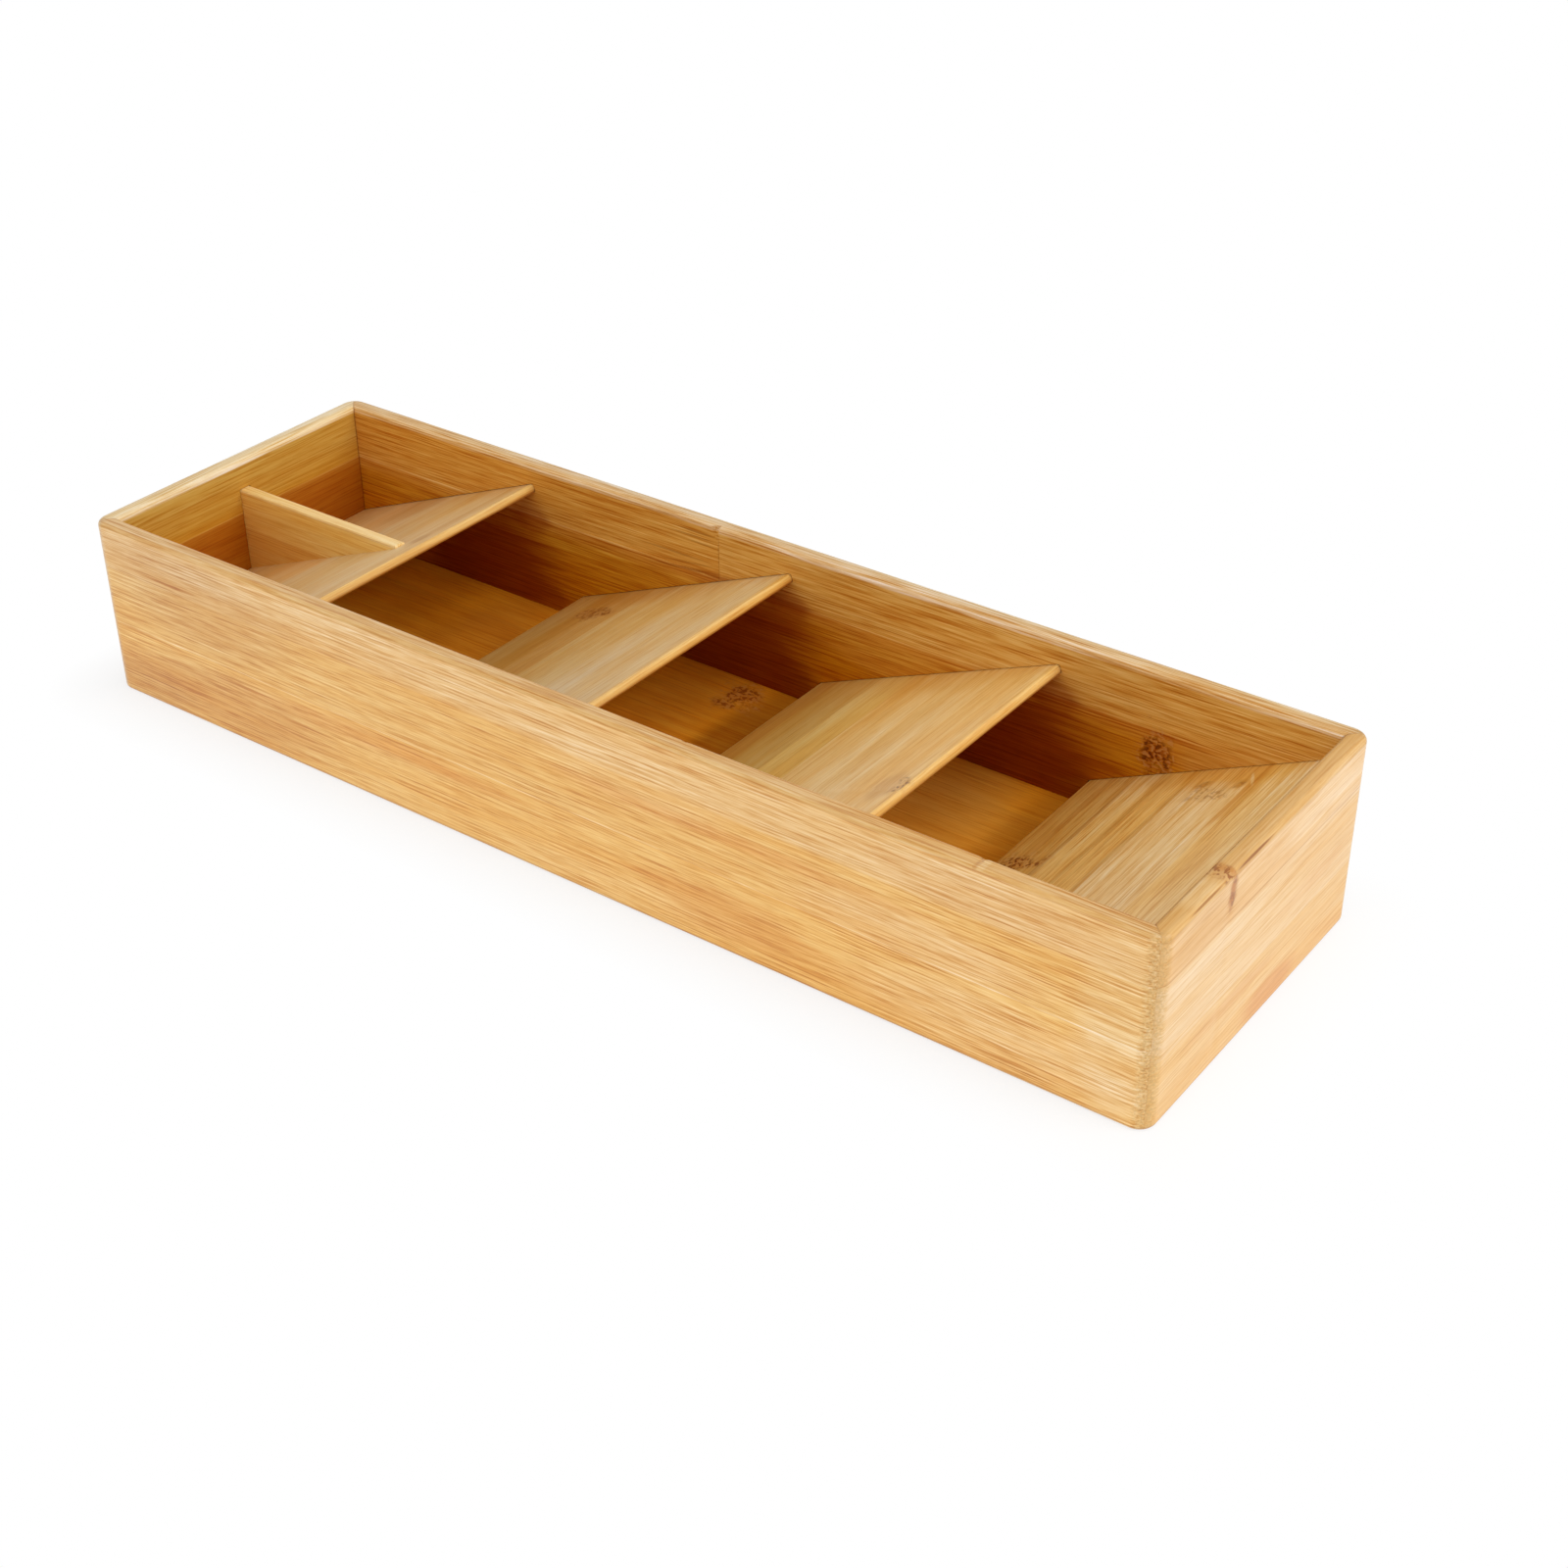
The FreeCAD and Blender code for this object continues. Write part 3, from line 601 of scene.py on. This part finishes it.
# Painted shade on the inner face: under the slanted boards along their slope, low down below each head, and
# just under each head
underRamps = [(along, 19, 38.5, 27, "#8f3603", 0.9, math.radians(22)) for along in (-132, -20, 84)]
underRamps += [(along, 10, 14, 13, "#8f3603", 0.6) for along in (-106, 3, 104)]
underRamps += [(along, 42, 10, 9, "#9a4408", 0.5) for along in (-110, 0, 101)]
walls = {
    "frontWall": {
        "node": "front_wall", "turn": 0, "stations": 501,
        "cutters": slots + [groove],
        "look": {
            "seed": 5, "coat": 0.75, "fibres": 2.35, "lines": 0.46, "flecks": 0.5, "ends": 0.2,
            "marked": "outside",
            "strips": [
                # The lowest millimetre is darker: painted shade at the foot
                (0, "#cf9a52"), (1.0, "#e9b45f"), (26.2, "#f0c788"), (26.8, "#e8b768"), (47, "#e6b874"),
                (61.6, "#d4a662"), (63, "#d4a662")],
            "inside": inside + [(61.4, "#d4a464"), (63, "#d4a464")],
            "patches": [
                (-80, 21.5, 75, 4, "#dc9a48", 0.5), (70, 40.5, 75, 3, "#dc9a48", 0.5),
                (62, 13.5, 36, 10, "#dc9a48", 0.5), (125, 33, 50, 9, "#eac08c", 0.35),
                (-150, 45, 50, 18, "#d5a564", 0.55), (-145, 12, 60, 14, "#d5994b", 0.65),
                (150, 12, 55, 14, "#e8bc80", 0.4), (150, 54, 50, 8, "#e0b47c", 0.4),
                (-165, 56, 40, 8, "#d6a566", 0.4), (-65, 22, 30, 2.2, "#e09a3c", 0.5),
                (-185, 6, 30, 9, "#cd9650", 0.45), (30, 47, 40, 12, "#f2cf98", 0.4),
                (20, 7, 50, 6, "#f2c880", 0.4), (190, 28, 16, 36, "#ecd0a0", 0.35),
                (145.6, 62.9, 1.4, 0.5, "#ecd4a4", 0.3)],
            "knots": [{"at": (144.2, 62.8), "half": (0.8, 0.7), "stain": 0.4, "flecks": 0.5}]}},
    "backWall": {
        "node": "back_wall", "turn": 2, "stations": 501,
        "cutters": slots + [groove, seamCutter, hollowCutter],
        "look": {
            "seed": 6, "marked": "inside", "fibres": 3.4, "lines": 0.5, "gleams": 0.45,
            "butts": [(seam["along"], seam["from"], 61.2, -0.13)],
            "strips": [
                (0, "#e4ae63"), (26.2, "#e8b463"), (47, "#e5b674"), (61.2, "#d2b07a"), (63, "#d2b07a")],
            "inside": inside + [(61.4, "#d6aa70"), (63, "#d6aa70")],
            "patches": underRamps + [
                (-27.8, 53, 0.4, 9, "#7a3c0c", 0.3), (-37, 58.6, 9, 0.5, "#7a3f0e", 0.4),
                (-39, 56.7, 11, 0.45, "#7a3f0e", 0.35), (-35, 54.8, 7, 0.4, "#7a3f0e", 0.35),
                (-46, 48.5, 18, 0.5, "#7a3f0e", 0.35), (-44, 43.6, 15, 0.5, "#7a3f0e", 0.3, 0.1),
                (-40, 46.2, 13, 0.45, "#7a3f0e", 0.3, 0.12), (-42, 44.8, 14, 0.4, "#e8bc70", 0.3, 0.11),
                # The dark patch at 114 mm along is painted shade as well, low beside the middle bay ramp's
                # head
                (165, 37, 24, 9, "#dca54e", 0.6), (114, 27, 14, 12, "#a04a08", 0.3),
                (45, 36, 30, 10, "#d99a3c", 0.4)],
            "knots": [
                {"at": (136.5, 35.5), "half": (6.5, 10), "stain": 0.6, "flecks": 0.85, "smear": "#9a450a",
                 "tint": "#5a1e02", "glint": 0.3}]}},
    "leftEndWall": {
        "node": "left_end_wall", "turn": 3, "stations": 161,
        "cutters": [groove, stall],
        "look": {
            "seed": 7, "fibres": 1.8, "lines": 0.35,
            # Its inner face is darker and redder than the outer and darkest near the floor: painted shade
            # inside the tray. The pale strip from 61.4 mm up is a painted highlight on the rim
            "inside": [
                (0, "#a0560c"), (24, "#a45a0c"), (41, "#ad6313"), (43.4, "#b97522"), (43.7, "#cd9542"),
                (44.1, "#c78d2c"), (60.8, "#cda34e"), (61.4, "#eed8b2"), (63, "#eed8b2")],
            "strips": [
                (0, "#e4ae63"), (22, "#e8b463"), (44, "#e5b674"), (61.2, "#dcc498"), (63, "#dcc498")]}},
    "rightEndWall": {
        "node": "right_end_wall", "turn": 1, "stations": 161,
        "cutters": [groove],
        "look": {
            "seed": 8, "fibres": 1.15, "lines": 0.16, "streaks": 0.45, "flecks": 0.32, "marked": "outside",
            "strips": [
                # The lowest millimetre is darker: painted shade at the foot
                (0, "#d09c5c"), (1.0, "#e6b872"), (22, "#e8c086"), (46.8, "#d3a062"), (47.3, "#e5b97c"),
                (60.6, "#d7a864"), (63, "#d7a864")],
            "inside": inside + [(61.4, "#ca9852"), (63, "#ca9852")],
            "patches": [
                (8, 5, 18, 6, "#d8924a", 0.6), (-15, 17, 30, 3, "#dba263", 0.4),
                (30, 30, 25, 4, "#e0aa6c", 0.25), (-37, 63, 9, 1.2, "#ecca92", 0.3),
                (-12, 62.1, 12, 0.45, "#8a4a06", 0.85), (-38, 62.2, 10, 0.4, "#94560c", 0.8),
                (-23.5, 56, 3.5, 7, "#d29f60", 0.4), (35, 54, 26, 9, "#ecc792", 0.5),
                (-38, 54, 22, 9, "#dcae70", 0.6)],
            "knots": [
                {"at": (-25.6, 62.8), "half": (4, 1.5), "stain": 0.4, "flecks": 0.8, "tint": "#8c4a06",
                 "glint": 0.3},
                {"at": (-23.3, 57), "half": (1.9, 7.5), "stain": 0.85, "flecks": 0.6, "smear": "#b66e1a",
                 "tint": "#8a4804"}]}},
}
wallFinish = {"gloss": 0.15, "coat": 0.5}  # the lacquer lies on the outer faces
wear = {  # place, radius and push of worn spots
    "frontWall": [((144, -55, 63), 1.8, (0, -0.25, -0.25)), ((45, -55, 63), 1.4, (0, -0.25, -0.3))],
    "rightEndWall": [((199.2, -25, 62.6), 3.4, (-0.25, 0, -0.3)), ((200, -23.6, 58), 4.0, (-0.12, 0, 0))],
}
for name, wall in walls.items():
    long = wall["turn"] in (0, 2)  # quarter turns from the front
    half = tray["length" if long else "width"] / 2
    turn = wall["turn"] * math.pi / 2
    facing = Vector((round(math.sin(turn)), -round(math.cos(turn)), 0))  # which way the outer face looks
    innerAcross = innerWidth if long else innerLength
    piece = grow(name, wallTree, {
        "Half Run": half, "Inner Across": innerAcross, "Thickness": tray["wall"],
        "Height": tray["height"], "Corner Radius": tray["cornerRadius"], "Rim Rounding": tray["rimRounding"],
        "Foot Rounding": tray["footRounding"], "Stations": wall["stations"], "Turn": turn,
        "Material": bamboo("bamboo, planed and lacquered, " + wall["node"].replace("_", " "),
                           {"halfRun": half, **wallFinish, **wall["look"]})})
    carve(piece, wall["cutters"])
    press(piece, wear.get(name, []))
    writeGrain(piece, facing * innerAcross, (1, 0, 0) if long else (0, 1, 0), (0, 0, 1), facing)
    boards[name] = piece
print("walls:", len(walls))

panel = {
    "eased": 0.3,
    "look": {
        "seed": 10, "marked": "inside",
        "strips": [
            (0, "#e28f1c"), (19, "#e6941f"), (38, "#df8c19"), (57, "#e79521"), (76, "#e28f1c"),
            (95, "#f09a1e"), (114.4, "#f09a1e")],
        "fibres": 1.6, "lines": 0.26, "gloss": 0.15, "coat": 0.0, "ragged": 0.2,
        "patches": [
            # The three dark bands across the floor beneath the ramps' heads, and the darker patch under the
            # pocket ramp, are painted shade
            (-110, 57, 22, 80, "#a9611a", 0.6), (2, 57, 13, 80, "#8a4a0c", 0.7),
            (106, 57, 11, 80, "#a9651a", 0.5), (-27, 64, 18, 80, "#f2a02c", 0.6),
            (80, 58, 24, 80, "#f4a93c", 0.8), (-128, 74, 36, 14, "#c87a14", 0.4)],
        "knots": [
            {"at": (-12, 102), "half": (9.5, 11), "stain": 0.5, "flecks": 0.75, "smear": "#b0622a",
             "tint": "#843000", "glint": 0.2}]},
}
reachX, reachY = grooveX - panelRoom, grooveY - panelRoom
base = block("basePanel", (-reachX, -reachY, panelFoot), (reachX, reachY, tray["floor"]))
base.data.materials.append(bamboo("bamboo, planed and lacquered, base panel", panel["look"]))
ease = base.modifiers.new("easedEdges", "BEVEL")
ease.width, ease.segments = panel["eased"] * mm, 2
settle(base)
writeGrain(base, (0, -reachY, tray["floor"]), (1, 0, 0), (0, 1, 0), (0, 0, -1))
boards["basePanel"] = base

# The divider stands on the pocket ramp, so its lower edge has the ramp's slope
pocket = ramps["pocketRamp"]
footX, footZ = pocket["foot"]
topZ = divider["top"]
noseZ = topZ - divider["nose"]
noseX = footX + (noseZ - footZ) * pocket["run"] / (pocket["head"] - footZ)
housedX = -innerLength - divider["housed"]
outline = ((housedX, footZ), (footX, footZ), (noseX, noseZ), (noseX, topZ), (housedX, topZ))
upright = solid("pocketDivider", [(x, -side, z) for x, z in outline], [(x, side, z) for x, z in outline])
shape = bmesh.new()
shape.from_mesh(upright.data)
overNose = (noseZ + topZ) / 2 * mm
topEdges = [edge for edge in shape.edges if all(vertex.co.z > overNose for vertex in edge.verts)]
bmesh.ops.bevel(
    shape, geom=topEdges, offset=divider["rounding"] * mm, segments=5, profile=0.5, affect="EDGES")
shape.to_mesh(upright.data)
shape.free()
upright.data.materials.append(bamboo("bamboo, planed and lacquered, divider", divider["look"]))
writeGrain(upright, (-innerLength, 0, footZ), (1, 0, 0), (0, 0, 1), (0, 1, 0))
boards["pocketDivider"] = upright
print("panel and divider done")

for cutter in slots + [groove, stall, seamCutter, hollowCutter]:
    bpy.data.objects.remove(cutter)
nodes = {**{name: board["node"] for name, board in {**ramps, **walls}.items()},
         "basePanel": "base_panel", "pocketDivider": "pocket_divider"}
for name, piece in boards.items():
    dress(piece, nodes[name])
print("pieces dressed:", len(boards))

# White seamless table: it keeps the tray's shadow near it, and goes over to plain white to the camera
# and in reflections. These sizes are in metres
studio = {
    "tableHalf": 4.0, "tableThickness": 0.02, "tableGap": 0.00005, "tableColour": "#f8f8f8",
    "glow": 0.76, "shadowRoom": (0.0005, 0.025), "dome": 0.6,
    "lamps": {
        "rightWindow": {"place": (1.5, 0.35, 1.0), "size": (1.2, 0.8), "power": 11.0},
        "frontWindow": {"place": (-0.1, -1.8, 0.3), "size": (1.8, 0.8), "power": 9.1},
        "skylight": {"place": (0.55, -0.2, 1.6), "size": (1.0, 1.0), "power": 6.6},
    },
}


def seenDirectly(tree):
    path = put(tree, "ShaderNodeLightPath").node.outputs
    seen = put(tree, mathNode, {0: path["Is Camera Ray"], 1: path["Is Glossy Ray"]}, operation="MAXIMUM")
    return put(tree, mathNode, {0: seen, 1: path["Is Transmission Ray"]}, operation="MAXIMUM")


edge, top = studio["tableHalf"] / mm, -studio["tableGap"] / mm
table = block("table", (-edge, -edge, top - studio["tableThickness"] / mm), (edge, edge, top))
white = bpy.data.materials.new("white card, matt")
white.use_nodes = True
tree = white.node_tree
tree.nodes.clear()
add = partial(put, tree)
card = add("ShaderNodeBsdfDiffuse", {"Color": colour(studio["tableColour"])})
glow = add("ShaderNodeEmission", {"Color": (1, 1, 1, 1), "Strength": 1.0})
trayHalf = (tray["length"] / 2 * mm, tray["width"] / 2 * mm, studio["tableHalf"])  # height doesn't count
spot = add(vectorNode, {0: add("ShaderNodeTexCoord", pick="Object")}, operation="ABSOLUTE")
beside = add(vectorNode, {0: spot, 1: trayHalf}, operation="SUBTRACT")
beside = add(vectorNode, {0: beside, 1: (0, 0, 0)}, operation="MAXIMUM")
away = add(vectorNode, {0: beside}, pick="Value", operation="LENGTH")  # distance from the tray's outline
near, far = studio["shadowRoom"]
whiteness = add(rangeNode, {"Value": away, "From Min": near, "From Max": far, "To Min": studio["glow"]})
share = add(mathNode, {0: seenDirectly(tree), 1: whiteness}, operation="MULTIPLY")
add("ShaderNodeOutputMaterial", {"Surface": add("ShaderNodeMixShader", {0: share, 1: card, 2: glow})})
table.data.materials.append(white)

world = bpy.data.worlds.new("softDome")
scene.world = world
world.use_nodes = True
tree = world.node_tree
tree.nodes.clear()
add = partial(put, tree)
level = add(rangeNode, {"Value": seenDirectly(tree), "To Min": studio["dome"], "To Max": 1.0})
dome = add("ShaderNodeBackground", {"Color": (1, 1, 1, 1), "Strength": level})
add("ShaderNodeOutputWorld", {"Surface": dome})

for name, lamp in studio["lamps"].items():
    window = bpy.data.lights.new(name, "AREA")
    window.shape, window.energy = "RECTANGLE", lamp["power"]
    window.size, window.size_y = lamp["size"]
    piece = bpy.data.objects.new(name, window)
    piece.matrix_world = Matrix.Translation(lamp["place"]) @ (
        Vector(lamp["place"]).to_track_quat("Z", "Y").to_matrix().to_4x4())
    piece.visible_camera = False
    scene.collection.objects.link(piece)

# The camera stands where the photograph's vanishing lines put it. Place, lens and sensor are in millimetres
view = {
    "place": (405.65, -497.63, 417.30), "azimuth": 36.411, "elevation": 32.926, "roll": -0.474,
    "lens": 54.9, "sensor": 36.0,
}
azimuth, elevation, roll = (math.radians(view[part]) for part in ("azimuth", "elevation", "roll"))
level = math.cos(elevation)
back = Vector((math.sin(azimuth) * level, -math.cos(azimuth) * level, math.sin(elevation)))
right = (-back).cross(Vector((0, 0, 1))).normalized()
up = back.cross(right)
right, up = right * math.cos(roll) + up * math.sin(roll), up * math.cos(roll) - right * math.sin(roll)
camera = bpy.data.objects.new("camera", bpy.data.cameras.new("camera"))
camera.data.lens, camera.data.sensor_width = view["lens"], view["sensor"]
camera.data.sensor_fit = "HORIZONTAL"
turned = Matrix((right, up, back)).transposed().to_4x4()
camera.matrix_world = Matrix.Translation(Vector(view["place"]) * mm) @ turned
scene.collection.objects.link(camera)
scene.camera = camera
scene.view_settings.view_transform = "Standard"
print("camera, light and table done")
